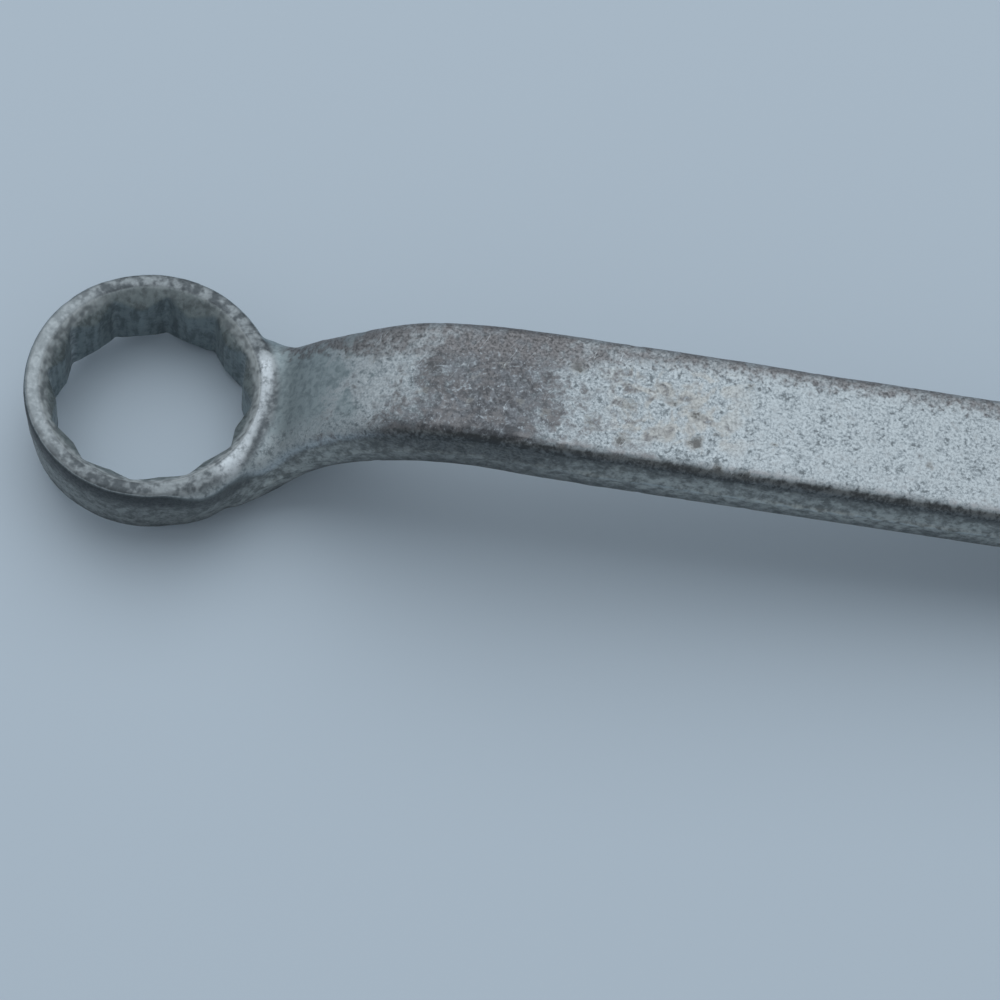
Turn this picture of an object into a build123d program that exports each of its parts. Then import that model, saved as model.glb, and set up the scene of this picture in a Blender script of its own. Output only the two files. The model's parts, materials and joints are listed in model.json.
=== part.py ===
from build123d import *
import math
import os

# Cranked combination wrench for 17 mm nuts: a twelve-point ring on a deep offset neck at one
# end of the shank, and an open jaw turned 15 degrees at the other. The real tool is one drop
# forging, described here in four regions that meet face to face.
# Lengths are millimetres and angles are degrees. The wrench is drawn with the ring centre as
# origin, X along the shank and Z across its flats, then set down on the two edges it rests on.

# Nut size and running clearances
NUT_SIZE = 17.0
RING_CLEARANCE = 0.15
JAW_CLEARANCE = 0.20

# Ring
RING_TOP_RADIUS = 12.0
RING_BOTTOM_RADIUS = 11.45
RING_HEIGHT = 8.3
RING_TOP_EDGE = 0.45
RING_BOTTOM_EDGE = 0.6
MOUTH_TOP_RADIUS = 10.5
MOUTH_BOTTOM_RADIUS = 9.65
MOUTH_ANGLE = 54.0
RING_POINTS = 12

# Shank, with the parting line of the dies at half its thickness
SHANK_WIDTH = 13.1
SHANK_THICKNESS = 7.2
DIE_DRAFT = 6.0
SHANK_EDGE = 1.3

# Offset neck between the ring and the shank
OFFSET = 12.1
BEND_START = 34.0
UPPER_BEND_RADIUS = 25.8
LOWER_BEND_RADIUS = 23.5
STEEPEST_RUN = 0.97
NECK_WIDTH = 11.3
NARROW_END = 8.0
NECK_TOP_LAND = 0.85
NECK_BOTTOM_LAND = 0.3
LAND_BLEND = 1.6
FLARE_START = 19.5
FLARE_LENGTH = 10.7
FLARE_RISE = 2.0
JOINT_FILLET = 3.0
JOINT_MARGIN = 0.4

# Open end
OVERALL_LENGTH = 205.0
HEAD_RADIUS = 17.8
HEAD_BLEND = 26.0
JAW_TURN = 15.0
JAW_REACH = 9.0
THROAT_DEPTH = 10.3
THROAT_RADIUS = 6.0
TIP_RADIUS = 3.5
TIP_INNER_RADIUS = 1.2

# Where one region ends and the next begins
NECK_FROM = 15.5
SHANK_FROM = 44.0
HEAD_FROM = 150.0
HEAD_RUN_IN = 8.0

# Sections of the neck, closer together towards the ring
NECK_SECTIONS = 16
SECTION_CROWDING = 1.4
NECK_ROOT = 8.8

# How far the countersink cones reach past the ring's face, and inside its inner corners
CONE_OVERRUN = 1.0
CONE_OVERLAP = 0.4

# Rounds of adjustment when the wrench is set down
SETTLING_STEPS = 8

HALF_RING = RING_HEIGHT / 2
HALF_SHANK = SHANK_THICKNESS / 2
RING_OPENING = NUT_SIZE + RING_CLEARANCE
JAW_OPENING = NUT_SIZE + JAW_CLEARANCE
POINT_SPACING = 360 / RING_POINTS
INNER_CORNER_RADIUS = RING_OPENING / 2 / math.cos(math.radians(POINT_SPACING / 2))
MOUTH_SLOPE = math.tan(math.radians(MOUTH_ANGLE))
TIP_OUT = JAW_REACH - TIP_RADIUS
TIP_SIDE = math.sqrt((HEAD_RADIUS - TIP_RADIUS) ** 2 - TIP_OUT**2)
FAR_TIP = (
    TIP_OUT * math.cos(math.radians(JAW_TURN))
    + TIP_SIDE * math.sin(math.radians(JAW_TURN))
    + TIP_RADIUS
)
HEAD_CENTRE = OVERALL_LENGTH - RING_TOP_RADIUS - FAR_TIP


def blended_maximum(a, b):
    """The larger of two heights, with a rounded corner where they cross."""
    overlap = max(LAND_BLEND - abs(a - b), 0.0)
    return max(a, b) + overlap**2 / (4 * LAND_BLEND)


def bend_height(x, start_height, radius):
    """Height of an arc that leaves the straight shank at BEND_START and falls to the ring."""
    run = min(max(BEND_START - x, 0.0), STEEPEST_RUN * radius)
    return start_height - radius + math.sqrt(radius**2 - run**2)


def upper_height(x):
    """Upper surface of the neck, which runs out into the ring's wall just below its rim."""
    arc = bend_height(x, OFFSET + HALF_SHANK, UPPER_BEND_RADIUS)
    return blended_maximum(arc, HALF_RING - NECK_TOP_LAND)


def lower_height(x):
    """Lower surface of the neck, which runs out just above the ring's underside."""
    arc = bend_height(x, OFFSET - HALF_SHANK, LOWER_BEND_RADIUS)
    return blended_maximum(arc, NECK_BOTTOM_LAND - HALF_RING)


def half_width(x):
    """Half the width at the parting line: full shank, narrow neck, flare into the ring."""
    share = min(max((x - NARROW_END) / (SHANK_FROM - NARROW_END), 0.0), 1.0)
    growth = share * share * (3 - 2 * share)
    width = NECK_WIDTH + (SHANK_WIDTH - NECK_WIDTH) * growth
    flare = max(FLARE_START - x, 0.0) / FLARE_LENGTH
    return width / 2 + FLARE_RISE * flare**2


def section(x):
    """Section of the forging at x: widest at the parting line, drafted, with round edges."""
    top = upper_height(x)
    bottom = lower_height(x)
    half_height = (top - bottom) / 2
    at_parting = half_width(x)
    at_flat = at_parting - half_height * math.tan(math.radians(DIE_DRAFT))
    outline = Polygon(
        (at_parting, 0),
        (at_flat, half_height),
        (-at_flat, half_height),
        (-at_parting, 0),
        (-at_flat, -half_height),
        (at_flat, -half_height),
        align=None,
    )
    corners = outline.vertices().filter_by(lambda corner: abs(corner.Y) > half_height / 2)
    rounded = fillet(corners, SHANK_EDGE)
    level = (top + bottom) / 2
    return Plane(origin=(x, 0, level), x_dir=(0, 1, 0), z_dir=(1, 0, 0)) * rounded


def neck_blank():
    """The neck from inside the ring's wall to the start of the straight shank."""
    span = SHANK_FROM - NECK_ROOT
    stations = [
        NECK_ROOT + span * (step / NECK_SECTIONS) ** SECTION_CROWDING
        for step in range(NECK_SECTIONS + 1)
    ]
    return loft([section(x) for x in stations])


def ring_blank():
    """The ring before its opening is broached: a drafted disc with rounded outer edges."""
    disc = Cone(RING_BOTTOM_RADIUS, RING_TOP_RADIUS, RING_HEIGHT)
    rims = disc.edges().filter_by(GeomType.CIRCLE).sort_by(Axis.Z)
    disc = fillet(rims[-1], RING_TOP_EDGE)
    rims = disc.edges().filter_by(GeomType.CIRCLE).sort_by(Axis.Z)
    return fillet(rims[0], RING_BOTTOM_EDGE)


def mouth_cone(radius, direction):
    """The countersink at one face of the ring; direction is 1 above and -1 below."""
    tip = INNER_CORNER_RADIUS - CONE_OVERLAP
    mouth = radius + CONE_OVERRUN / MOUTH_SLOPE
    height = (mouth - tip) * MOUTH_SLOPE
    cone = Pos(0, 0, HALF_RING + CONE_OVERRUN - height / 2) * Cone(tip, mouth, height)
    if direction < 0:
        cone = Rot(180, 0, 0) * cone
    return cone


def ring_opening():
    """Twelve-point opening: two hexagons turned by one point, with a corner on the shank line."""
    hexagon = RegularPolygon(RING_OPENING / 2, RING_POINTS // 2, major_radius=False)
    star = hexagon + Rot(0, 0, POINT_SPACING) * hexagon
    broached = extrude(star, RING_HEIGHT, both=True)
    return broached + mouth_cone(MOUTH_TOP_RADIUS, 1) + mouth_cone(MOUTH_BOTTOM_RADIUS, -1)


def shank_bar():
    """The straight shank, with one section all along."""
    return extrude(section(SHANK_FROM), HEAD_FROM - SHANK_FROM)


def head_outline():
    """Plan of the open end at the parting line, with the last stretch of the shank."""
    start = HEAD_FROM - HEAD_RUN_IN
    length = HEAD_CENTRE - start
    disc = Pos(HEAD_CENTRE, 0) * Circle(HEAD_RADIUS)
    bar = Pos(start + length / 2, 0) * Rectangle(length, SHANK_WIDTH)
    plan = disc + bar
    crossings = plan.vertices().group_by(Axis.X)[1]
    plan = fillet(crossings, HEAD_BLEND)
    beyond = Pos(JAW_REACH + HEAD_RADIUS, 0) * Rectangle(2 * HEAD_RADIUS, 3 * HEAD_RADIUS)
    plan = plan - in_jaw_frame(beyond)
    tips = plan.vertices().sort_by_distance(in_jaw_frame(Pos(HEAD_RADIUS, 0)).position)[:2]
    return fillet(tips, TIP_RADIUS)


def in_jaw_frame(shape):
    """Moves a shape drawn around the nut, with X out of the jaw, to its place on the head."""
    return Pos(HEAD_CENTRE, 0) * Rot(0, 0, JAW_TURN) * shape


def jaw_gap():
    """Plan of the way in for the nut: parallel faces and a rounded throat."""
    length = 2 * HEAD_RADIUS + THROAT_DEPTH
    gap = Pos(length / 2 - THROAT_DEPTH, 0) * Rectangle(length, JAW_OPENING)
    throat_corners = gap.vertices().group_by(Axis.X)[0]
    return in_jaw_frame(fillet(throat_corners, THROAT_RADIUS))


def head_blank():
    """The open end without its gap, drafted both ways from the parting line."""
    plan = head_outline()
    upper = extrude(plan, HALF_SHANK, taper=DIE_DRAFT)
    lower = extrude(plan, -HALF_SHANK, taper=DIE_DRAFT)
    head = upper + lower
    flats = head.faces().filter_by(Axis.Z)
    rims = flats.edges().filter_by(Axis.Y, reverse=True)
    return fillet(rims, SHANK_EDGE)


def open_end():
    """The finished open end, at the height of the shank."""
    head = head_blank() - extrude(jaw_gap(), SHANK_THICKNESS, both=True)
    mouth = in_jaw_frame(Pos(JAW_REACH, 0)).position
    uprights = head.edges().filter_by(lambda edge: abs((edge @ 1 - edge @ 0).Z) > SHANK_EDGE)
    lips = uprights.sort_by_distance(mouth)[:4]
    head = fillet(lips, TIP_INNER_RADIUS)
    return Pos(0, 0, OFFSET) * between(head, HEAD_FROM, OVERALL_LENGTH)


def between(solid, start, end):
    """The stretch of a solid from one X to another."""
    length = end - start
    reach = 4 * HEAD_RADIUS
    return solid & Pos(start + length / 2, 0, 0) * Box(length, reach, reach)


def ring_and_neck():
    """The ring joined to its neck, with the joint filleted and the opening broached."""
    neck = neck_blank()
    blank = Rot(0, 0, 180) * ring_blank() + neck
    joint = blank.edges().filter_by(on_joint)
    return fillet(joint, JOINT_FILLET) - ring_opening()


def on_joint(edge):
    """Whether an edge lies where the neck runs into the ring's wall."""
    middle = edge.center()
    near_ring = NECK_ROOT + JOINT_MARGIN < middle.X < RING_TOP_RADIUS + JOINT_MARGIN
    return near_ring and edge.geom_type == GeomType.BSPLINE and edge.length < RING_TOP_RADIUS


def lowest(part):
    """Height of the lowest point of a part."""
    return part.bounding_box().min.Z


def resting_turn(ring, head):
    """The roll and pitch that bring the ring and both jaw tips down to one level."""
    left_jaw = split(head, Plane.XZ, keep=Keep.BOTTOM)
    right_jaw = split(head, Plane.XZ, keep=Keep.TOP)
    length = OVERALL_LENGTH - 2 * RING_TOP_RADIUS
    roll = 0.0
    pitch = 0.0
    for _ in range(SETTLING_STEPS):
        turn = Rot(roll, pitch, 0)
        ring_level = lowest(turn * ring)
        left_level = lowest(turn * left_jaw)
        right_level = lowest(turn * right_jaw)
        jaw_level = (left_level + right_level) / 2
        roll -= math.degrees(math.atan2(left_level - right_level, 2 * TIP_SIDE))
        pitch += math.degrees(math.atan2(jaw_level - ring_level, length))
    return Rot(roll, pitch, 0)


def set_down(parts):
    """Lays the wrench on the table, centred on the origin."""
    turn = resting_turn(parts["ring_head"], parts["open_end_head"])
    box = Compound(children=[turn * part for part in parts.values()]).bounding_box()
    centre = box.center()
    place = Pos(-centre.X, -centre.Y, -box.min.Z) * turn
    return {name: place * part for name, part in parts.items()}


forging = ring_and_neck()
regions = {
    "ring_head": between(forging, -2 * RING_TOP_RADIUS, NECK_FROM),
    "offset_neck": between(forging, NECK_FROM, SHANK_FROM),
    "shank": shank_bar(),
    "open_end_head": open_end(),
}

os.makedirs("parts", exist_ok=True)
for name, part in set_down(regions).items():
    export_step(part, f"parts/{name}.step")
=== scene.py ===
import json
import math
import bmesh
import bpy
import numpy as np
from mathutils import Matrix, Vector, kdtree


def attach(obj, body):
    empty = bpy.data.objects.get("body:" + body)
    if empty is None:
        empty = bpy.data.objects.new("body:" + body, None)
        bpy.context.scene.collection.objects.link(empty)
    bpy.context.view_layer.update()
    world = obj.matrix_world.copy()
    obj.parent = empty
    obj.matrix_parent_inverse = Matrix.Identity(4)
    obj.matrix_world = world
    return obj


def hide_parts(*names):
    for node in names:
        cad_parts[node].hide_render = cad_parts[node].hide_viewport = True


# A cranked combination wrench lying on a pale table: one drop forging with a dull zinc skin.
# The skin is grown from the CAD regions, worn and pitted here, then parted again into the same
# regions, so that each piece stands for one CAD node. Lengths in the wrench's own frame are
# millimetres, with the ring centre as origin, X along the shank and Z along the ring's axis.

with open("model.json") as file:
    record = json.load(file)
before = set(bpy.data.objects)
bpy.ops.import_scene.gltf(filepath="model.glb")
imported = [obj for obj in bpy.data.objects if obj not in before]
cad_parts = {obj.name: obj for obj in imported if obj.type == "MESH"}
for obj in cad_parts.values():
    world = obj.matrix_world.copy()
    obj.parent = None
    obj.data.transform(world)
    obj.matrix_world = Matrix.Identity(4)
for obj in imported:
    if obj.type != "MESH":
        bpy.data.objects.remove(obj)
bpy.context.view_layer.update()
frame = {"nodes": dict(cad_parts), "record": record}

MM = 0.001
REGIONS = ("ring_head", "offset_neck", "shank", "open_end_head")

# The forging
RING_TOP_RADIUS = 12.0
RING_HALF_HEIGHT = 4.15
BORE_EDGE_RADIUS = 10.9
MOUTH_RADIUS = 10.5
HALF_THICKNESS = 3.6
JAW_HALF_OPENING = 8.6
THROAT_DEPTH = 10.3
JAW_MARGIN = 0.3

# Growing the skin: even voxels, the tolerances of joining and cutting, and the stretch of the
# shank over which its breadth and height are read
VOXEL = 0.22
SOFTENING_ROUNDS = 4
SOFTENING_SHARE = 0.5
WELD_DISTANCE = 0.02
BORDER_MARGIN = 0.01
LENGTHWISE = 0.999
CUT_TOLERANCE = 0.005
STATION = 0.5
BLUR_ROUNDS = 2

# The corners between neck and ring: how far each is filled out, and the stretches of X, of Y
# and of radius in which the filling rises and falls
NEAR_WEB = 1.75
NEAR_CORNER = ((3.0, 8.0), (8.5, 14.0))
NEAR_SIDE = (-7.0, -4.0)
NEAR_RADII = (BORE_EDGE_RADIUS, BORE_EDGE_RADIUS + 1.3)
FAR_WEB = 1.0
FAR_CORNER = ((8.5, 10.5), (10.8, 12.5))
FAR_SIDE = (3.0, 5.0)
FAR_RADII = (RING_TOP_RADIUS - 0.3, RING_TOP_RADIUS + 0.8)

# The neck's rounding: smoothing rounds, the radii and the X between which it comes in and
# fades out, and the breadth given back afterwards
NECK_ROUNDING = 70
NECK_RADII = (RING_TOP_RADIUS - 0.3, RING_TOP_RADIUS + 2.0)
ROOT_RADII = (RING_TOP_RADIUS - 0.3, RING_TOP_RADIUS + 0.9)
ROOT_START = (7.0, 10.0)
NECK_END = (17.0, 29.0)
REGAINED_RADII = (RING_TOP_RADIUS, RING_TOP_RADIUS + 2.0)
NECK_REGAINED = ((8.0, 14.0), (23.0, 33.0))
NECK_SHIFT = 0.15
NECK_WIDENING = 0.045

# The ring's wall and the trimmed flash: heights, where they come in and fade out, and how far
# a normal points outwards or sideways there
WALL_BARREL = 0.16
WALL_RADII = (BORE_EDGE_RADIUS, 11.2)
WALL_END = (8.0, 12.0)
OUTWARDS = (0.3, 0.8)
SIDEWAYS = (0.55, 0.9)
BORE_RADII = (10.4, BORE_EDGE_RADIUS)
FLASH_RISE = (8.0, 13.0)
FLASH_HEIGHT = 0.17
FLASH_HALF_WIDTH = 0.28
FLASH_ON_RING = 0.3
FLASH_MEAN = 0.75
FLASH_LEAST = 0.1
FLASH_RAGGED = ((0.7, 3.4, 5), (0.5, 1.1, 6))

# Numbers that scatter the noise lattice, and how many random values it draws on
HASH_PRIMES = (73856093, 19349663, 83492791)
NOISE_TABLE = 4096

# Wear: depth, size and seed of each layer of noise, then the pits pressed into the skin and
# the share of its full depth that a pit may have
WAVES = ((0.05, 9.0, 11), (0.03, 4.0, 12))
GRAIN = ((0.014, 1.1, 13), (0.010, 0.55, 14))
PITS = (
    {"count": 260, "seed": 21, "radii": (0.3, 0.8), "depth": 0.05, "spread": (-12.0, 190.0)},
    {"count": 170, "seed": 22, "radii": (0.4, 1.1), "depth": 0.07, "spread": (18.0, 62.0)},
)
PIT_DEPTHS = (0.4, 1.0)

# The bore's mouth, and how far a normal points inwards there
MOUTH_SOFTNESS = 0.2
INWARDS = (-0.2, 0.2)

# The crescent of painted highlight on the ring's rim where the neck runs in: bearings in degrees,
# the radii of its land, how much wider and further out it is towards its ends, and how faint it
# is in its middle
CRESCENT_BEARINGS = ((-52.0, -38.0), (20.0, 30.0))
CRESCENT_MIDDLE = -10.0
CRESCENT_REACH = 30.0
CRESCENT_LAND = ((10.3, 10.6), (10.9, 11.6))
CRESCENT_SHIFT = 0.3
WIDER_NEAR = 0.9
WIDER_NEAR_FALL = (-42.0, -20.0)
WIDER_FAR = 0.3
WIDER_FAR_RISE = (0.0, 12.0)
CRESCENT_HEIGHTS = (RING_HALF_HEIGHT - 1.6, RING_HALF_HEIGHT - 0.7)
CRESCENT_FAINTEST = 0.6

# The coat's shine: its share of metal, its roughness from dark grain to light, and its relief
METALLIC = 0.8
ROUGHNESS = (0.62, 0.46)
RELIEF_STRENGTH = 0.3
RELIEF_DEPTH = 0.05

# Camera: degrees and millimetres, the point looked at being counted from the ring's centre
VIEW_AZIMUTH = 3.40
VIEW_ELEVATION = 65.71
VIEW_ROLL = 3.80
VIEW_DISTANCE = 286.7
VIEW_CENTRE = (34.75, -5.82, 0.0)
LENS = 108.0
CLIP_START = 10.0

# Stage: metres, and watts for the lamp, which points at the wrench
TABLE_HALF = 3.0
TABLE_COLOUR = (0.50, 0.60, 0.70, 1.0)
TABLE_ROUGHNESS = 0.55
WINDOW_PLACE = (-0.15, 0.85, 1.4)
WINDOW_SIZE = 1.9
WINDOW_POWER = 15.0
WINDOW_COLOUR = (0.95, 0.98, 1.0)
ROOM_COLOUR = (0.93, 0.97, 1.0, 1.0)
ROOM_STRENGTH = 0.42


def mount(name):
    """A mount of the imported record, as position in millimetres and unit axis."""
    for entry in frame["record"]["mounts"]:
        if entry["name"] == name:
            return np.array(entry["pos_m"]) / MM, np.array(entry["axis"])
    raise KeyError(name)


RING_CENTRE, RING_AXIS = mount("ring_drive")
JAW_CENTRE, JAW_AXIS = mount("jaw_drive")
REACH = JAW_CENTRE - RING_CENTRE
ALONG = REACH - np.dot(REACH, RING_AXIS) * RING_AXIS
ALONG = ALONG / np.linalg.norm(ALONG)
ACROSS = np.cross(RING_AXIS, ALONG)
WRENCH_AXES = np.array([ALONG, ACROSS, RING_AXIS])
HEAD_CENTRE = WRENCH_AXES @ REACH
JAW_OUT = (WRENCH_AXES @ JAW_AXIS)[:2]
JAW_SIDE = np.array([-JAW_OUT[1], JAW_OUT[0]])


def to_wrench(points):
    """Points of the row frame, in metres, in the wrench's own frame."""
    return (points / MM - RING_CENTRE) @ WRENCH_AXES.T


def to_row(points):
    """The inverse of to_wrench."""
    return (points @ WRENCH_AXES + RING_CENTRE) * MM


def smoothstep(low, high, value):
    """Rises from 0 at low to 1 at high."""
    share = np.clip((value - low) / (high - low), 0.0, 1.0)
    return share * share * (3 - 2 * share)


def fading(low, high, value):
    """Falls from 1 at low to 0 at high."""
    return 1 - smoothstep(low, high, value)


def plateau(rise, fall, value):
    """1 between two stretches in which it rises and falls, 0 beyond them."""
    return smoothstep(*rise, value) * fading(*fall, value)


def lattice_noise(points, cell, seed):
    """Smooth noise from -1 to 1 at each point, with bumps about one cell wide."""
    table = np.random.default_rng(seed).uniform(-1.0, 1.0, NOISE_TABLE)
    scaled = points / cell
    base = np.floor(scaled).astype(np.int64)
    part = scaled - base
    ease = part * part * (3 - 2 * part)
    total = np.zeros(len(points))
    for corner in np.ndindex(2, 2, 2):
        first, second, third = ((base + np.array(corner)) * HASH_PRIMES).T
        key = first ^ second ^ third
        weight = np.prod(np.where(corner, ease, 1 - ease), axis=1)
        total += weight * table[key % len(table)]
    return total


def layered_noise(points, layers):
    """The sum of several noises, each given as amount, cell and seed."""
    return sum(amount * lattice_noise(points, cell, seed) for amount, cell, seed in layers)


# Growing the skin


def node_spans():
    """Where each CAD node begins and ends along the shank."""
    spans = {}
    for name in REGIONS:
        mesh = frame["nodes"][name].data
        points = np.empty(len(mesh.vertices) * 3)
        mesh.vertices.foreach_get("co", points)
        along = to_wrench(points.reshape(-1, 3))[:, 0]
        spans[name] = (along.min(), along.max())
    return spans


SPANS = node_spans()
CUTS = [SPANS[name][0] for name in REGIONS[1:]]


def joined_regions():
    """One closed mesh of all the CAD regions, without the faces where they meet."""
    shell = bmesh.new()
    for name in REGIONS:
        shell.from_mesh(frame["nodes"][name].data)
    inner = []
    for face in shell.faces:
        middle = to_wrench(np.array(face.calc_center_median()))
        lengthwise = abs(np.dot(np.array(face.normal), ALONG)) > LENGTHWISE
        if lengthwise and any(abs(middle[0] - cut) < BORDER_MARGIN for cut in CUTS):
            inner.append(face)
    bmesh.ops.delete(shell, geom=inner, context="FACES")
    bmesh.ops.remove_doubles(shell, verts=shell.verts, dist=WELD_DISTANCE * MM)
    mesh = bpy.data.meshes.new("joined_regions")
    shell.to_mesh(mesh)
    shell.free()
    return mesh


def remeshed(mesh):
    """The mesh rebuilt from even voxels, then softened as a tumbled forging is."""
    carrier = bpy.data.objects.new("skin_carrier", mesh)
    bpy.context.scene.collection.objects.link(carrier)
    remesh = carrier.modifiers.new("remesh", "REMESH")
    remesh.mode = "VOXEL"
    remesh.voxel_size = VOXEL * MM
    soften = carrier.modifiers.new("soften", "SMOOTH")
    soften.factor = SOFTENING_SHARE
    soften.iterations = SOFTENING_ROUNDS
    evaluated = carrier.evaluated_get(bpy.context.evaluated_depsgraph_get())
    skin = bpy.data.meshes.new_from_object(evaluated)
    bpy.data.objects.remove(carrier)
    return skin


def cut_at_borders(mesh):
    """Adds a ring of edges where two regions meet."""
    shell = bmesh.new()
    shell.from_mesh(mesh)
    for cut in CUTS:
        point = to_row(np.array([cut, 0.0, 0.0]))
        geometry = shell.verts[:] + shell.edges[:] + shell.faces[:]
        bmesh.ops.bisect_plane(
            shell,
            geom=geometry,
            dist=CUT_TOLERANCE * MM,
            plane_co=Vector(point),
            plane_no=Vector(ALONG),
        )
    bmesh.ops.triangulate(shell, faces=[face for face in shell.faces if len(face.verts) > 4])
    shell.to_mesh(mesh)
    shell.free()
    return mesh


class Skin:
    """The skin as arrays: points and normals in the wrench's frame, and edges as point pairs."""

    def __init__(self, mesh):
        self.mesh = mesh
        points = np.empty(len(mesh.vertices) * 3)
        mesh.vertices.foreach_get("co", points)
        self.points = to_wrench(points.reshape(-1, 3))
        edges = np.empty(len(mesh.edges) * 2, dtype=np.int64)
        mesh.edges.foreach_get("vertices", edges)
        self.edges = edges.reshape(-1, 2)
        self.degree = np.bincount(self.edges.ravel(), minlength=len(self.points))
        self.read_normals()

    def read_normals(self):
        normals = np.empty(len(self.mesh.vertices) * 3)
        self.mesh.vertex_normals.foreach_get("vector", normals)
        self.normals = normals.reshape(-1, 3) @ WRENCH_AXES.T

    def write_points(self):
        self.mesh.vertices.foreach_set("co", to_row(self.points).ravel())
        self.mesh.update()
        self.read_normals()

    def neighbour_mean(self, values):
        """Mean of a value over each point's neighbours."""
        first, second = self.edges.T
        columns = values.reshape(len(values), -1)
        total = np.empty_like(columns)
        for column in range(columns.shape[1]):
            total[:, column] = np.bincount(
                first, columns[second, column], minlength=len(values)
            ) + np.bincount(second, columns[first, column], minlength=len(values))
        return (total / self.degree[:, None]).reshape(values.shape)

    def blurred(self, values, rounds):
        """A value spread over the surface."""
        for _ in range(rounds):
            values = (values + self.neighbour_mean(values)) / 2
        return values

    def radius(self):
        """How far each point lies from the ring's axis."""
        return np.hypot(self.points[:, 0], self.points[:, 1])


def rounded_neck(skin):
    """Fills the corners between neck and ring, and wears the neck's long edges round."""
    x, y = skin.points[:, 0], skin.points[:, 1]
    radius = skin.radius()
    near = plateau(*NEAR_CORNER, x) * fading(*NEAR_SIDE, y) * smoothstep(*NEAR_RADII, radius)
    far = plateau(*FAR_CORNER, x) * smoothstep(*FAR_SIDE, y) * smoothstep(*FAR_RADII, radius)
    skin.points[:, 1] += FAR_WEB * far - NEAR_WEB * near
    off_ring = smoothstep(*NECK_RADII, radius)
    at_root = smoothstep(*ROOT_RADII, radius) * smoothstep(*ROOT_START, x)
    share = np.maximum(off_ring, at_root) * fading(*NECK_END, x)
    share = np.maximum(share, near)
    for _ in range(NECK_ROUNDING):
        pull = skin.neighbour_mean(skin.points) - skin.points
        skin.points = skin.points + pull * (share / 2)[:, None]
    x, y = skin.points[:, 0], skin.points[:, 1]
    regained = plateau(*NECK_REGAINED, x) * smoothstep(*REGAINED_RADII, radius)
    skin.points[:, 1] += regained * (NECK_SHIFT + NECK_WIDENING * y)
    skin.write_points()


def main_shape(skin):
    """Barrels the ring's outer wall and raises the trimmed flash along the parting line."""
    x, y, z = skin.points.T
    radius = skin.radius()
    outward = (skin.normals[:, 0] * x + skin.normals[:, 1] * y) / np.maximum(radius, 1.0)
    on_wall = smoothstep(*WALL_RADII, radius) * smoothstep(*OUTWARDS, outward)
    on_wall *= fading(*WALL_END, x)
    barrel = WALL_BARREL * np.clip(1 - (z / RING_HALF_HEIGHT) ** 2, 0.0, 1.0) * on_wall

    from_parting = level_share(skin) * HALF_THICKNESS
    sideways = smoothstep(*SIDEWAYS, np.hypot(skin.normals[:, 0], skin.normals[:, 1]))
    in_bore = fading(*BORE_RADII, radius)
    out_of_jaw = JAW_OUT @ (skin.points - HEAD_CENTRE)[:, :2].T
    beside_jaw = np.abs(JAW_SIDE @ (skin.points - HEAD_CENTRE)[:, :2].T)
    in_jaw = out_of_jaw > -THROAT_DEPTH - JAW_MARGIN
    in_jaw &= beside_jaw < JAW_HALF_OPENING + JAW_MARGIN
    ragged = np.maximum(FLASH_MEAN + layered_noise(skin.points, FLASH_RAGGED), FLASH_LEAST)
    profile = np.exp(-((from_parting / FLASH_HALF_WIDTH) ** 2))
    ridge = FLASH_HEIGHT * profile * sideways * ragged
    strength = FLASH_ON_RING + (1 - FLASH_ON_RING) * smoothstep(*FLASH_RISE, x)
    ridge *= (1 - in_bore) * ~in_jaw * strength
    skin.points += skin.normals * (barrel + ridge)[:, None]
    skin.write_points()


def wear(skin):
    """Forging waves, blasted grain and pits."""
    rise = layered_noise(skin.points, WAVES) + layered_noise(skin.points, GRAIN)
    skin.points = skin.points + skin.normals * rise[:, None]
    skin.write_points()
    for pits in PITS:
        dent(skin, **pits)


def dent(skin, count, seed, radii, depth, spread):
    """Presses small round pits into the surface at random places."""
    rng = np.random.default_rng(seed)
    x = skin.points[:, 0]
    candidates = np.flatnonzero((x > spread[0]) & (x < spread[1]))
    tree = kdtree.KDTree(len(candidates))
    for index in candidates:
        tree.insert(skin.points[index], int(index))
    tree.balance()
    pressed = np.zeros(len(skin.points))
    for centre in rng.choice(candidates, count, replace=False):
        radius = rng.uniform(*radii)
        fall = depth * rng.uniform(*PIT_DEPTHS)
        for _, index, distance in tree.find_range(skin.points[centre], radius):
            share = 1 - (distance / radius) ** 2
            pressed[index] = max(pressed[index], fall * share * share)
    skin.points = skin.points - skin.normals * pressed[:, None]
    skin.write_points()


def bore_share(skin):
    """1 inside the ring's opening and its countersinks, 0 elsewhere."""
    radius = skin.radius()
    inward = -np.sum(skin.normals[:, :2] * skin.points[:, :2], axis=1) / np.maximum(radius, 1.0)
    within = fading(MOUTH_RADIUS - MOUTH_SOFTNESS, MOUTH_RADIUS + MOUTH_SOFTNESS, radius)
    return skin.blurred(within * smoothstep(*INWARDS, inward), BLUR_ROUNDS)


def crescent_share(skin):
    """1 on the land where the neck runs into the ring, where a highlight is painted; fainter in
    its middle.
    """
    x, y, z = skin.points.T
    bearing = np.degrees(np.arctan2(y, x))
    towards_neck = plateau(*CRESCENT_BEARINGS, bearing)
    ends = np.clip(((bearing - CRESCENT_MIDDLE) / CRESCENT_REACH) ** 2, 0.0, 1.0)
    out = skin.radius() - CRESCENT_SHIFT * ends
    wider = WIDER_NEAR * fading(*WIDER_NEAR_FALL, bearing)
    wider = wider + WIDER_FAR * smoothstep(*WIDER_FAR_RISE, bearing)
    inner, outer = CRESCENT_LAND
    on_land = smoothstep(*inner, out) * fading(*outer, out - wider)
    high = smoothstep(*CRESCENT_HEIGHTS, z)
    strength = CRESCENT_FAINTEST + (1 - CRESCENT_FAINTEST) * ends
    return towards_neck * on_land * high * strength


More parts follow.
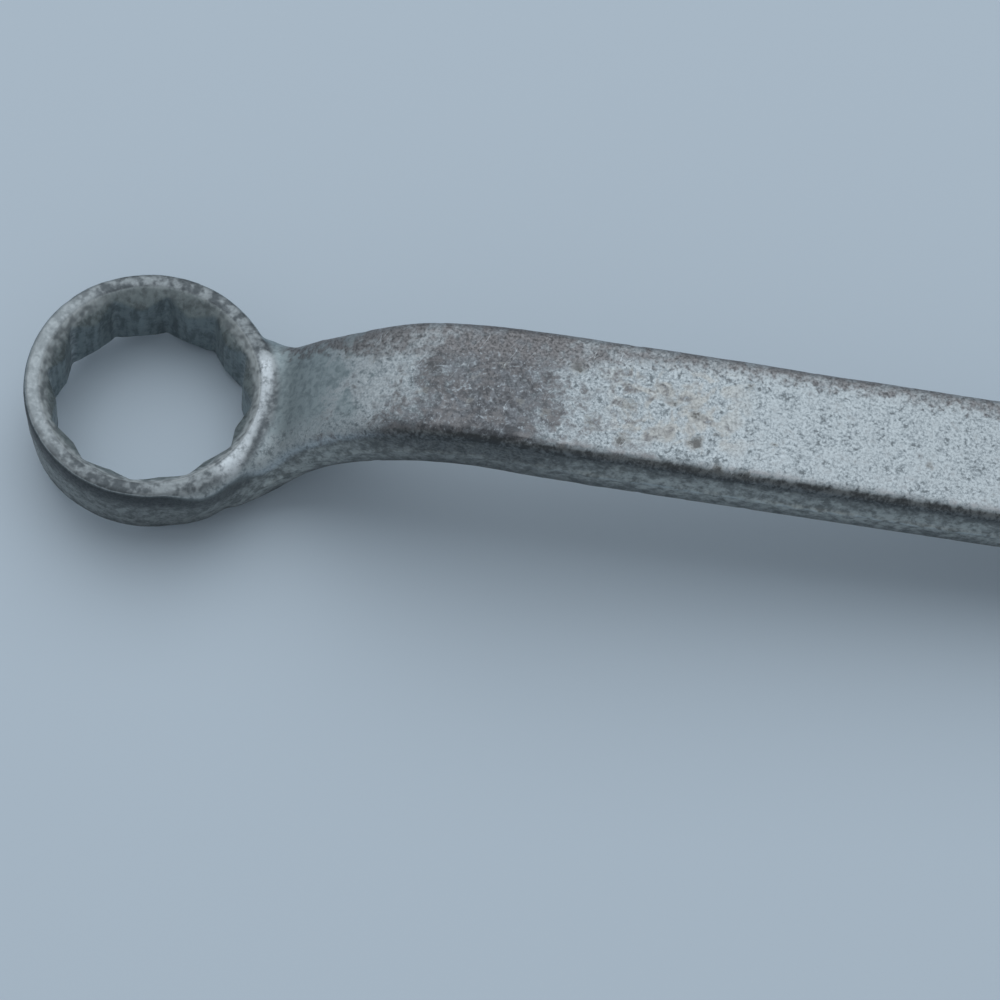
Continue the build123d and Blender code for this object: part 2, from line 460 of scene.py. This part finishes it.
def station_extremes(x, values, pick, empty):
    """The greatest or least of the values at each station, read back at every point."""
    bins = np.round((x - x.min()) / STATION).astype(int)
    extremes = np.full(bins.max() + 1, empty)
    pick.at(extremes, bins, values)
    return np.interp(x - x.min(), np.arange(len(extremes)) * STATION, extremes)


def inset_distance(skin):
    """How far each point lies in from the widest place of its own stretch of the wrench."""
    x, y = skin.points[:, 0], np.abs(skin.points[:, 1])
    return station_extremes(x, y, np.maximum, 0.0) - y


def level_share(skin):
    """Height above the parting line as a share of half the thickness, from -1 to 1."""
    x, z = skin.points[:, 0], skin.points[:, 2]
    top = station_extremes(x, z, np.maximum, -np.inf)
    bottom = station_extremes(x, z, np.minimum, np.inf)
    return (z - (top + bottom) / 2) / ((top - bottom) / 2)


def shape_attributes(skin, facing):
    """What the material reads about the shape of the skin."""
    return {
        "facing": facing,
        "bore": bore_share(skin),
        "crescent": crescent_share(skin),
        "inset": inset_distance(skin),
        "level": level_share(skin),
        "radius": skin.radius(),
    }


def grow_skin():
    """The worn skin of the whole forging, and how far it faces up, read before the wear."""
    skin = Skin(cut_at_borders(remeshed(joined_regions())))
    rounded_neck(skin)
    facing = skin.blurred(skin.normals[:, 2], BLUR_ROUNDS)
    main_shape(skin)
    wear(skin)
    return skin, facing


# Parting the skin into pieces


def face_arrays(mesh):
    """The corner vertices of all faces in turn, and how many each face has."""
    corners = np.empty(len(mesh.loops), dtype=np.int64)
    sizes = np.empty(len(mesh.polygons), dtype=np.int64)
    mesh.loops.foreach_get("vertex_index", corners)
    mesh.polygons.foreach_get("loop_total", sizes)
    return corners, sizes


def region_piece(skin, name, low, high, extras):
    """One region of the skin as its own closed object, shaded as part of the whole."""
    corners, sizes = face_arrays(skin.mesh)
    face_of_corner = np.repeat(np.arange(len(sizes)), sizes)
    middles = np.bincount(face_of_corner, skin.points[corners, 0]) / sizes
    chosen = np.flatnonzero((middles > low) & (middles <= high))
    keep = np.isin(face_of_corner, chosen)
    used, local = np.unique(corners[keep], return_inverse=True)
    mesh = bpy.data.meshes.new(name + "_skin")
    mesh.vertices.add(len(used))
    mesh.vertices.foreach_set("co", to_row(skin.points[used]).ravel())
    mesh.loops.add(len(local))
    mesh.loops.foreach_set("vertex_index", local.astype(np.int32))
    mesh.polygons.add(len(chosen))
    chosen_sizes = sizes[chosen]
    chosen_starts = np.cumsum(chosen_sizes) - chosen_sizes
    mesh.polygons.foreach_set("loop_start", chosen_starts.astype(np.int32))
    mesh.update(calc_edges=True)
    for label, values in extras.items():
        attribute = mesh.attributes.new(label, "FLOAT", "POINT")
        attribute.data.foreach_set("value", values[used].astype(np.float32))
    place = mesh.attributes.new("place", "FLOAT_VECTOR", "POINT")
    place.data.foreach_set("vector", skin.points[used].astype(np.float32).ravel())
    shading = skin.normals[used] @ WRENCH_AXES
    close_ends(mesh, shading)
    piece = bpy.data.objects.new(name + "_skin", mesh)
    bpy.context.scene.collection.objects.link(piece)
    return piece


def close_ends(mesh, shading):
    """Caps the open borders of a piece and gives its skin the normals of the whole forging."""
    skin_corners = len(mesh.loops)
    shell = bmesh.new()
    shell.from_mesh(mesh)
    border = [edge for edge in shell.edges if edge.is_boundary]
    bmesh.ops.holes_fill(shell, edges=border, sides=0)
    shell.to_mesh(mesh)
    shell.free()
    corners, sizes = face_arrays(mesh)
    normals = shading[corners]
    flat = np.empty(len(mesh.polygons) * 3)
    mesh.polygons.foreach_get("normal", flat)
    flat = flat.reshape(-1, 3)
    capped = np.arange(len(corners)) >= skin_corners
    face_of_corner = np.repeat(np.arange(len(sizes)), sizes)
    normals[capped] = flat[face_of_corner[capped]]
    mesh.polygons.foreach_set("use_smooth", np.ones(len(mesh.polygons), dtype=bool))
    mesh.normals_split_custom_set(normals.tolist())


# Material


def tone(red, green, blue):
    """A colour given on the 0 to 255 display scale, as linear shares."""
    shares = [value / 255 for value in (red, green, blue)]
    return tuple(((share + 0.055) / 1.055) ** 2.4 for share in shares) + (1.0,)


# Where the marks lie along the shank: as start and end, or as a stretch of rise or fall
LIT_RIM_FALL = (-11.5, -5.0)
SHADE_FALL = (3.0, 8.0)
PALE_SLOPE = (19.0, 24.0)
BLOOM_SPAN = (43.0, 55.0)
STAIN_RISE = (21.0, 29.0)
STAIN_FALL = (33.0, 40.0)
TRAIL_RISE = (30.0, 38.0)
TRAIL_FALL = (43.0, 58.0)
NEAR_EDGE_STAIN = (14.0, 32.0)
CROWDED_SPOTS = (38.0, 55.0)
DARKER_BEND = (20.0, 42.0)
RIDGE_RISE = (34.0, 48.0)
WIDE_SHOULDER = (18.0, 42.0)
FAR_SHOULDER_SPAN = (12.0, 155.0)
NEAR_SHOULDER_SPAN = (22.0, 170.0)
LOW_SHOULDER = (16.0, 40.0)
BLUSH_RISE = (30.0, 42.0)
PLAIN_NECK_FALL = (16.5, 20.5)
SCRATCHED_SPAN = (20.0, 60.0)

# How densely each noise of the material is packed, from the finest to the widest
FLECK_SCALE = 7.5
GRAIN_SCALE = 3.7
MOTTLE_SCALE = 1.6
BLOTCH_SCALE = 1.2
PATCH_SCALE = 0.5
SPOT_SCALE = 0.42
CLOUD_SCALE = 0.19

# How strongly each mark covers what lies under it
PALE_STRENGTH = 0.65
BLOOM_STRENGTH = 0.5
STAIN_STRENGTH = 0.95
HALO_STRENGTH = 0.45
SPOT_STRENGTH = 0.80
SIDE_STRENGTH = 0.92
NEAR_EDGE_SHADE_STRENGTH = 0.92
PLAIN_NECK_STRENGTH = 0.88
BORE_STRENGTH = 0.95
SCRATCH_STRENGTH = 0.6

# Colours of the coat and of its wear, and of the shade, light and highlights painted on it
ZINC = tone(181, 191, 197)
ZINC_SPECK = tone(144, 154, 161)
ZINC_PIT = tone(104, 112, 117)
PALE = tone(196, 205, 210)
BLOOM = tone(178, 176, 170)
EDGE_BLUSH = tone(192, 193, 197)
STAIN = tone(106, 110, 116)
STAIN_BROWN = tone(105, 105, 108)
STAIN_FLECK = tone(142, 150, 157)
STAIN_DARK = tone(70, 71, 75)
SPOT = tone(82, 83, 83)
SPOT_HALO = tone(140, 142, 141)
# Brown-grey tone and painted shade of the rounded far edge
SHOULDER_BROWN_AND_SHADE = tone(126, 126, 129)
SHOULDER_BROWN_AND_SHADE_DARK = tone(80, 81, 83)
# Painted shade of the rounded near edge, and its lighter flecks
NEAR_EDGE_SHADE = tone(67, 70, 72)
NEAR_EDGE_SHADE_FLECK = tone(112, 117, 119)
SMOOTH_ZINC = tone(151, 166, 172)
SMOOTH_DARK = tone(132, 147, 153)
BORE = tone(146, 158, 161)
BORE_DARK = tone(112, 122, 125)
SIDE = tone(179, 184, 182)
SIDE_DARK = tone(118, 122, 121)
# Darkest side tone: painted shade under the top edge, and darkening of the ring's wall, the bend
# and the lower side
SIDE_DARKEST = tone(68, 72, 73)
SHADE = tone(46, 49, 51)
# Painted highlight along the flash ridge
RIDGE_HIGHLIGHT = tone(184, 194, 197)
RIM = tone(138, 146, 151)
RIM_DARK = tone(84, 91, 96)
# Zinc of the countersinks, made paler as painted light
COUNTERSINK_PAINTED_LIGHT = tone(212, 220, 223)
COUNTERSINK_PAINTED_LIGHT_DARK = tone(148, 155, 159)
# Painted highlight of the rim's crescent, and the bright metal of the fine scratches
HIGHLIGHT_AND_SCRATCH = tone(192, 201, 208)


class Graph:
    """Short calls for building a node material."""

    def __init__(self, name):
        self.material = bpy.data.materials.new(name)
        self.material.use_nodes = True
        self.nodes = self.material.node_tree.nodes
        self.links = self.material.node_tree.links
        self.shader = self.nodes["Principled BSDF"]

    def link(self, source, target):
        self.links.new(source, target)

    def place(self, node, sockets):
        """Fills a node's inputs, each from another node's output or with a plain value."""
        for key, value in sockets.items():
            if isinstance(value, bpy.types.NodeSocket):
                self.link(value, node.inputs[key])
            else:
                node.inputs[key].default_value = value
        return node

    def attribute(self, name, output="Fac"):
        node = self.nodes.new("ShaderNodeAttribute")
        node.attribute_name = name
        return node.outputs[output]

    def noise(self, vector, scale, detail, roughness=0.5, distortion=0.0):
        node = self.nodes.new("ShaderNodeTexNoise")
        sockets = {"Vector": vector, "Scale": scale, "Detail": detail}
        sockets |= {"Roughness": roughness, "Distortion": distortion}
        return self.place(node, sockets).outputs["Fac"]

    def cells(self, vector, scale):
        """Distance to the nearest of scattered points, and a colour for each point."""
        node = self.nodes.new("ShaderNodeTexVoronoi")
        outputs = self.place(node, {"Vector": vector, "Scale": scale}).outputs
        return outputs["Distance"], outputs["Color"]

    def ramp(self, value, low, high, start=0.0, end=1.0):
        """Eases from start to end while the value goes from low to high."""
        node = self.nodes.new("ShaderNodeMapRange")
        node.interpolation_type = "SMOOTHSTEP"
        sockets = {"Value": value, "From Min": low, "From Max": high}
        sockets |= {"To Min": start, "To Max": end}
        return self.place(node, sockets).outputs["Result"]

    def math(self, kind, first, second=0.0, third=0.0):
        node = self.nodes.new("ShaderNodeMath")
        node.operation = kind
        return self.place(node, {0: first, 1: second, 2: third}).outputs["Value"]

    def times(self, *factors):
        product = factors[0]
        for factor in factors[1:]:
            product = self.math("MULTIPLY", product, factor)
        return product

    def plus(self, *terms):
        total = terms[0]
        for term in terms[1:]:
            total = self.math("ADD", total, term)
        return total

    def mix(self, share, first, second):
        node = self.nodes.new("ShaderNodeMix")
        node.data_type = "RGBA"
        self.place(node, {0: share, 6: first, 7: second})
        return node.outputs[2]

    def split(self, vector):
        node = self.nodes.new("ShaderNodeSeparateXYZ")
        return self.place(node, {0: vector}).outputs

    def streaked(self, vector, turn, size):
        """The place vector for marks of a given size in millimetres, turned about Z."""
        node = self.nodes.new("ShaderNodeMapping")
        node.vector_type = "TEXTURE"
        sockets = {"Vector": vector, "Rotation": (0, 0, turn), "Scale": size}
        return self.place(node, sockets).outputs["Vector"]


class Surface:
    """What the layers read: place in the wrench's frame, shape attributes, and speckle."""

    def __init__(self, graph):
        self.graph = graph
        self.place = graph.attribute("place", "Vector")
        axes = graph.split(self.place)
        self.along, self.across = axes["X"], axes["Y"]
        self.facing = graph.attribute("facing")
        self.bore = graph.attribute("bore")
        self.level = graph.attribute("level")
        self.inset = graph.attribute("inset")
        self.radius = graph.attribute("radius")
        self.grain = self.softer(graph.noise(self.place, GRAIN_SCALE, 1.6, 0.6, 0.3), 0.58)
        self.fleck = self.softer(graph.noise(self.place, FLECK_SCALE, 1.0, 0.5), 0.7)
        self.mottle = graph.noise(self.place, MOTTLE_SCALE, 2.0, 0.5, 0.4)
        self.blotch = graph.noise(self.place, BLOTCH_SCALE, 1.0, 0.5)
        self.patch = graph.noise(self.place, PATCH_SCALE, 3.0, 0.6, 0.5)
        self.cloud = graph.noise(self.place, CLOUD_SCALE, 2.0, 0.5)

    def softer(self, noise, share):
        """A noise drawn in towards its middle."""
        return self.graph.math("MULTIPLY_ADD", noise, share, 0.5 - share / 2)

    def swing(self, noise, amount):
        """A noise brought around zero, up to about a quarter of the amount either way."""
        return self.graph.math("MULTIPLY_ADD", noise, amount, -amount / 2)

    def between(self, value, low, high, soft):
        """1 where a value lies between two limits, with soft ends."""
        graph = self.graph
        rise = graph.ramp(value, low - soft, low + soft)
        fall = graph.ramp(value, high - soft, high + soft, 1.0, 0.0)
        return graph.times(rise, fall)

    def broken(self, region, coarse, fine, low, high):
        """A region with its edges and inside broken up by two sizes of noise."""
        graph = self.graph
        ragged = graph.plus(region, self.swing(self.patch, coarse), self.swing(self.mottle, fine))
        return graph.ramp(ragged, low, high)


def zinc_coat(graph, surface):
    """Light bluish zinc under fine dark speckle, with scattered darker pits."""
    grain = graph.plus(
        surface.grain,
        surface.swing(surface.fleck, 0.5),
        surface.swing(surface.mottle, 0.45),
        surface.swing(surface.patch, 0.45),
    )
    coat = graph.mix(graph.ramp(grain, 0.32, 0.60), ZINC_SPECK, ZINC)
    pits = graph.plus(
        surface.mottle, surface.swing(surface.grain, 0.7), surface.swing(surface.patch, 0.6)
    )
    return graph.mix(graph.ramp(pits, 0.22, 0.40, 0.75, 0.0), coat, ZINC_PIT)


def pale_patch(graph, surface, colour):
    """The palest zinc, on the slope between the plain neck and the stained bend."""
    slope = surface.between(surface.along, *PALE_SLOPE, 3.0)
    inside = graph.times(
        slope, graph.ramp(surface.inset, 1.4, 3.0), graph.ramp(surface.across, -5.5, -2.0)
    )
    share = surface.broken(inside, 1.8, 1.8, 0.30, 1.05)
    speckled = graph.mix(graph.ramp(surface.grain, 0.34, 0.66), ZINC_SPECK, PALE)
    return graph.mix(graph.times(share, PALE_STRENGTH), colour, speckled)


def beige_bloom(graph, surface, colour):
    """Faint warm patches on the shank next to the bend."""
    beside_bend = surface.between(surface.along, *BLOOM_SPAN, 3.0)
    region = graph.times(beside_bend, graph.ramp(surface.inset, 2.0, 3.5))
    share = graph.times(region, graph.ramp(surface.patch, 0.44, 0.60))
    return graph.mix(graph.times(share, BLOOM_STRENGTH), colour, BLOOM)


def stained_bend(graph, surface, colour):
    """Mauve-brown stain over the bend, mottled, with dark pits and light flecks."""
    wavering = graph.plus(surface.along, surface.swing(surface.cloud, 6.0))
    left = graph.plus(wavering, graph.times(surface.across, -0.45))
    right = graph.plus(wavering, graph.times(surface.across, -0.10))
    main = graph.times(graph.ramp(left, *STAIN_RISE), graph.ramp(right, *STAIN_FALL, 0.9, 0.0))
    trail = graph.times(graph.ramp(left, *TRAIL_RISE), graph.ramp(right, *TRAIL_FALL, 1.0, 0.0))
    near_edge = graph.times(
        surface.between(surface.along, *NEAR_EDGE_STAIN, 5.0),
        graph.ramp(surface.across, -5.0, -1.0, 1.0, 0.0),
    )
    region = graph.plus(main, graph.times(trail, 0.36), graph.times(near_edge, 0.22))
    broken = surface.broken(region, 1.7, 1.8, 0.0, 1.0)
    share = graph.plus(broken, graph.times(broken, surface.swing(surface.grain, 1.2)))
    cover = graph.ramp(share, 0.0, 1.0, 0.0, STAIN_STRENGTH)
    return graph.mix(cover, colour, stain_speckle(graph, surface))


def stain_speckle(graph, surface):
    """The stain's own colours: dark pits, grey to brown ground and light flecks."""
    grain = graph.plus(
        surface.mottle, surface.swing(surface.grain, 1.1), surface.swing(surface.fleck, 0.5)
    )
    ground = graph.mix(graph.ramp(surface.patch, 0.42, 0.60), STAIN, STAIN_BROWN)
    ground = graph.mix(graph.ramp(surface.blotch, 0.48, 0.66, 0.0, 0.75), ground, STAIN_DARK)
    stain = graph.mix(graph.ramp(grain, 0.26, 0.50), STAIN_DARK, ground)
    return graph.mix(graph.ramp(grain, 0.55, 0.80), stain, STAIN_FLECK)


def scattered_spots(graph, surface, colour):
    """Isolated brown-grey spots up to a millimetre wide, most of them beside the bend."""
    shifted = graph.nodes.new("ShaderNodeVectorMath")
    shifted.operation = "MULTIPLY_ADD"
    wander = graph.nodes.new("ShaderNodeTexNoise")
    graph.place(wander, {"Vector": surface.place, "Scale": 1.7, "Detail": 2.0})
    graph.place(shifted, {0: wander.outputs["Color"], 1: (1.1, 1.1, 1.1), 2: surface.place})
    distance, cell_colour = graph.cells(shifted.outputs["Vector"], SPOT_SCALE)
    chance = graph.split(cell_colour)["X"]
    crowded = surface.between(surface.along, *CROWDED_SPOTS, 3.0)
    size = graph.plus(graph.ramp(chance, 0.35, 1.0, -0.20, 0.13), graph.times(crowded, 0.22))
    ragged = graph.plus(surface.swing(surface.grain, 0.6), surface.swing(surface.mottle, 0.25))
    depth = graph.plus(graph.math("SUBTRACT", size, distance), ragged)
    colour = graph.mix(graph.ramp(depth, -0.14, 0.0, 0.0, HALO_STRENGTH), colour, SPOT_HALO)
    return graph.mix(graph.ramp(depth, -0.03, 0.12, 0.0, SPOT_STRENGTH), colour, SPOT)


def forged_sides(graph, surface, colour):
    """Grey speckle on the drafted sides, darker on the ring's wall and over the bend, with
    painted shade under the top edge and the rim, a painted highlight along the trimmed flash, and
    darker towards the bottom.
    """
    on_ring = graph.ramp(surface.radius, 12.6, 14.2, 1.0, 0.0)
    on_bend = surface.between(surface.along, *DARKER_BEND, 5.0)
    grain = graph.plus(
        surface.grain, surface.swing(surface.blotch, 1.2), surface.swing(surface.patch, 0.7)
    )
    side = graph.mix(graph.ramp(grain, 0.18, 0.80), SIDE_DARK, SIDE)
    darker_wall_and_bend = graph.plus(graph.times(on_ring, 0.38), graph.times(on_bend, 0.28))
    side = graph.mix(darker_wall_and_bend, side, SIDE_DARKEST)
    ragged = graph.plus(surface.swing(surface.mottle, 0.6), surface.swing(surface.patch, 0.5))
    level = graph.plus(surface.level, ragged, graph.times(on_ring, 0.22))
    # Painted shade on the upper part of the side, under the top edge
    side = graph.mix(graph.ramp(level, 0.30, 0.80, 0.0, 0.75), side, SIDE_DARKEST)
    # Painted shade under the rim's edge on the ring's wall
    under_rim = graph.times(on_ring, graph.ramp(surface.along, *SHADE_FALL, 0.8, 0.0))
    side = graph.mix(graph.times(under_rim, graph.ramp(level, 0.62, 1.0)), side, SHADE)
    line = graph.plus(surface.level, surface.swing(surface.mottle, 0.08))
    # Painted highlight along the top of the flash ridge
    ridge_highlight = graph.times(
        surface.between(line, -0.04, 0.06, 0.04),
        graph.ramp(surface.mottle, 0.42, 0.60),
        graph.ramp(surface.along, *RIDGE_RISE, 0.0, 0.7),
    )
    side = graph.mix(ridge_highlight, side, RIDGE_HIGHLIGHT)
    # Darker towards the bottom of the side
    side = graph.mix(graph.ramp(level, -0.65, -0.20, 0.55, 0.0), side, SIDE_DARKEST)
    tilt = graph.plus(surface.facing, graph.times(on_ring, -0.25))
    region = graph.ramp(tilt, 0.20, 0.42, 1.0, 0.0)
    return graph.mix(graph.times(region, SIDE_STRENGTH), colour, side)


def far_shoulder(graph, surface, colour):
    """The ragged band along the far edge of the upper flat: brown-grey tone, darkened with
    painted shade of the rounded edge.
    """
    inwards = graph.plus(
        surface.inset, surface.swing(surface.mottle, 3.0), surface.swing(surface.patch, 4.0)
    )
    on_bend = surface.between(surface.along, *WIDE_SHOULDER, 4.0)
    inwards = graph.plus(inwards, graph.times(on_bend, -1.9))
    band = graph.ramp(inwards, 1.7, 2.9, 1.0, 0.0)
    far = graph.ramp(surface.across, 1.0, 3.0)
    along = surface.between(surface.along, *FAR_SHOULDER_SPAN, 1.0)
    upper = graph.times(graph.ramp(surface.facing, 0.1, 0.4), along)
    # Brown-grey tone with painted shade of the rounded far edge
    brown_and_shade = graph.mix(graph.ramp(surface.grain, 0.34, 0.60), SHOULDER_BROWN_AND_SHADE_DARK, SHOULDER_BROWN_AND_SHADE)
    uneven = graph.plus(surface.patch, surface.swing(surface.blotch, 0.6))
    strength = graph.ramp(uneven, 0.30, 0.58, 0.4, 0.9)
    return graph.mix(graph.times(band, far, upper, strength), colour, brown_and_shade)


def near_shoulder(graph, surface, colour):
    """Painted shade along the rounded edge on the near side, with a pale blush on the flat beside
    it.
    """
    near = graph.ramp(surface.across, -3.0, -1.0, 1.0, 0.0)
    on_shank = surface.between(surface.along, *NEAR_SHOULDER_SPAN, 5.0)
    on_bend = surface.between(surface.along, *LOW_SHOULDER, 5.0)
    tilt = graph.plus(
        surface.facing, surface.swing(surface.mottle, 0.18), surface.swing(surface.patch, 0.14)
    )
    tilt = graph.plus(tilt, graph.times(on_bend, 0.12))
    flattening = graph.plus(surface.facing, surface.swing(surface.grain, 0.12))
    beside = surface.between(flattening, 0.90, 0.98, 0.03)
    blush = graph.times(beside, graph.ramp(surface.patch, 0.42, 0.6))
    past_bend = graph.ramp(surface.along, *BLUSH_RISE, 0.15, 0.45)
    colour = graph.mix(graph.times(blush, near, on_shank, past_bend), colour, EDGE_BLUSH)
    grain = graph.plus(
        surface.grain, surface.swing(surface.mottle, 0.8), surface.swing(surface.patch, 0.8)
    )
    # Painted shade along the rounded near edge, with lighter flecks in it
    dark = graph.mix(graph.ramp(grain, 0.36, 0.74), NEAR_EDGE_SHADE, NEAR_EDGE_SHADE_FLECK)
    band = graph.times(surface.between(tilt, 0.20, 0.84, 0.09), near, on_shank)
    return graph.mix(graph.times(band, NEAR_EDGE_SHADE_STRENGTH), colour, dark)


def smooth_neck(graph, surface, colour):
    """The plain greenish grey of the neck just behind the ring."""
    ragged = graph.plus(
        surface.along, surface.swing(surface.patch, 12.0), surface.swing(surface.mottle, 4.0)
    )
    start = graph.ramp(surface.radius, 11.3, 12.2)
    end = graph.ramp(ragged, *PLAIN_NECK_FALL, 1.0, 0.0)
    across = graph.plus(surface.across, surface.swing(surface.mottle, 4.0))
    near = graph.ramp(across, -5.0, -2.0, 0.35, 1.0)
    region = graph.times(start, end, near, graph.ramp(surface.facing, 0.2, 0.5))
    plain = graph.mix(graph.ramp(surface.mottle, 0.35, 0.62), SMOOTH_DARK, SMOOTH_ZINC)
    return graph.mix(graph.times(region, PLAIN_NECK_STRENGTH), colour, plain)


def broached_bore(graph, surface, colour):
    """The bore and its countersinks: plain and dark, with streaks along the broach's travel, and
    painted light on the countersinks' zinc, faint on the far side.
    """
    streaks = graph.noise(graph.streaked(surface.place, 0.0, (0.65, 0.65, 2.8)), 1.0, 4.0, 0.6)
    uneven = graph.plus(streaks, surface.swing(surface.mottle, 0.5))
    wall = graph.mix(graph.ramp(uneven, 0.32, 0.64), BORE_DARK, BORE)
    mouth = graph.ramp(graph.plus(surface.radius, surface.swing(surface.mottle, 0.6)), 9.5, 10.1)
    turned = graph.math("SUBTRACT", surface.across, graph.math("ABSOLUTE", surface.along))
    # Painted light: the countersinks' zinc made paler on the near side and to the left and right,
    # faint on the far side
    lit_countersink_share = graph.times(mouth, graph.ramp(turned, -1.0, 5.0, 0.95, 0.15))
    coat = graph.mix(graph.ramp(surface.blotch, 0.32, 0.66), COUNTERSINK_PAINTED_LIGHT_DARK, COUNTERSINK_PAINTED_LIGHT)
    wall = graph.mix(lit_countersink_share, wall, coat)
    return graph.mix(graph.times(surface.bore, BORE_STRENGTH), colour, wall)


def ring_rim(graph, surface, colour):
    """Speckled rim of the ring, with a painted highlight where the neck meets it."""
    near_ring = graph.ramp(surface.radius, 11.8, 12.8, 1.0, 0.0)
    outside = graph.ramp(surface.bore, 0.2, 0.7, 1.0, 0.0)
    upward = graph.times(near_ring, outside, graph.ramp(surface.facing, 0.55, 0.80))
    grain = graph.plus(
        surface.blotch, surface.swing(surface.grain, 0.4), surface.swing(surface.patch, 1.5)
    )
    rim = graph.mix(graph.ramp(grain, 0.25, 0.75), RIM_DARK, RIM)
    # Painted light: the rim made paler on the ring's left side
    rim = graph.mix(graph.ramp(surface.along, *LIT_RIM_FALL, 0.5, 0.0), rim, ZINC)
    colour = graph.mix(upward, colour, rim)
    speckle = graph.plus(surface.grain, surface.swing(surface.blotch, 0.8))
    # Painted highlight on the crescent where the neck runs into the ring
    crescent_highlight = graph.times(graph.attribute("crescent"), graph.ramp(speckle, 0.25, 0.55, 0.45, 1.0))
    return graph.mix(graph.times(crescent_highlight, outside), colour, HIGHLIGHT_AND_SCRATCH)


def fine_scratches(graph, surface, colour):
    """A few thin bright scratches on the bend and on the flat beside it."""
    lines = graph.noise(graph.streaked(surface.place, 1.1, (7.0, 0.7, 3.0)), 1.0, 2.0, 0.5)
    thin = graph.ramp(graph.math("ABSOLUTE", surface.swing(lines, 1.0)), 0.002, 0.008, 1.0, 0.0)
    along = surface.between(surface.along, *SCRATCHED_SPAN, 4.0)
    region = graph.times(along, graph.ramp(surface.facing, 0.6, 0.8))
    scarce = graph.ramp(graph.noise(surface.place, 0.4, 2.0), 0.54, 0.62)
    return graph.mix(graph.times(thin, region, scarce, SCRATCH_STRENGTH), colour, HIGHLIGHT_AND_SCRATCH)


def zinc_material():
    """Dull zinc over forged steel, from the plain coat to the marks that lie on it."""
    graph = Graph("dull_zinc_forging")
    surface = Surface(graph)
    colour = zinc_coat(graph, surface)
    layers = (
        pale_patch, beige_bloom, stained_bend, scattered_spots, forged_sides, smooth_neck,
        far_shoulder, near_shoulder, broached_bore, fine_scratches, ring_rim,
    )
    for layer in layers:
        colour = layer(graph, surface, colour)
    graph.link(colour, graph.shader.inputs["Base Color"])
    graph.shader.inputs["Metallic"].default_value = METALLIC
    graph.link(graph.ramp(surface.grain, 0.3, 0.7, *ROUGHNESS), graph.shader.inputs["Roughness"])
    relief = graph.plus(surface.grain, graph.times(surface.fleck, 0.5))
    bump = graph.nodes.new("ShaderNodeBump")
    graph.place(
        bump, {"Strength": RELIEF_STRENGTH, "Distance": RELIEF_DEPTH * MM, "Height": relief}
    )
    graph.link(bump.outputs["Normal"], graph.shader.inputs["Normal"])
    return graph.material


# Stage


def floor():
    """A pale table top under the wrench."""
    half = TABLE_HALF
    mesh = bpy.data.meshes.new("table_top")
    corners = [(-half, -half, 0), (half, -half, 0), (half, half, 0), (-half, half, 0)]
    mesh.from_pydata(corners, [], [(0, 1, 2, 3)])
    table = bpy.data.objects.new("table_top", mesh)
    bpy.context.scene.collection.objects.link(table)
    material = bpy.data.materials.new("pale_table")
    material.use_nodes = True
    shader = material.node_tree.nodes["Principled BSDF"]
    shader.inputs["Base Color"].default_value = TABLE_COLOUR
    shader.inputs["Roughness"].default_value = TABLE_ROUGHNESS
    mesh.materials.append(material)


def window_light():
    """One large soft lamp, high on the far side, turned towards the wrench."""
    data = bpy.data.lights.new("window", "AREA")
    data.size = WINDOW_SIZE
    data.energy = WINDOW_POWER
    data.color = WINDOW_COLOUR
    lamp = bpy.data.objects.new("window", data)
    lamp.location = WINDOW_PLACE
    lamp.rotation_euler = (-Vector(WINDOW_PLACE)).to_track_quat("-Z", "Y").to_euler()
    bpy.context.scene.collection.objects.link(lamp)


def world_light():
    """Even, faintly blue light from all round."""
    world = bpy.data.worlds.new("soft_room")
    world.use_nodes = True
    background = world.node_tree.nodes["Background"]
    background.inputs["Color"].default_value = ROOM_COLOUR
    background.inputs["Strength"].default_value = ROOM_STRENGTH
    bpy.context.scene.world = world


def camera():
    """Looks down the ring end from in front, with the far end running out of the picture."""
    data = bpy.data.cameras.new("camera")
    data.lens = LENS
    data.clip_start = CLIP_START * MM
    view = bpy.data.objects.new("camera", data)
    azimuth = math.radians(VIEW_AZIMUTH)
    elevation = math.radians(VIEW_ELEVATION)
    back = Vector((
        math.cos(elevation) * math.sin(azimuth),
        -math.cos(elevation) * math.cos(azimuth),
        math.sin(elevation),
    ))
    target = Vector((RING_CENTRE + np.array(VIEW_CENTRE)) * MM)
    turn = back.to_track_quat("Z", "Y").to_matrix().to_4x4()
    roll = Matrix.Rotation(math.radians(VIEW_ROLL), 4, "Z")
    view.matrix_world = Matrix.Translation(target + back * VIEW_DISTANCE * MM) @ turn @ roll
    bpy.context.scene.collection.objects.link(view)
    bpy.context.scene.camera = view


def main():
    skin, facing = grow_skin()
    extras = shape_attributes(skin, facing)
    material = zinc_material()
    borders = [-math.inf, *CUTS, math.inf]
    for name, low, high in zip(REGIONS, borders, borders[1:]):
        piece = region_piece(skin, name, low, high, extras)
        piece.data.materials.append(material)
        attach(piece, "root")
        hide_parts(name)
        print(name, "faces", len(piece.data.polygons))
    floor()
    window_light()
    world_light()
    camera()
    bpy.context.scene.view_settings.view_transform = "Standard"


main()
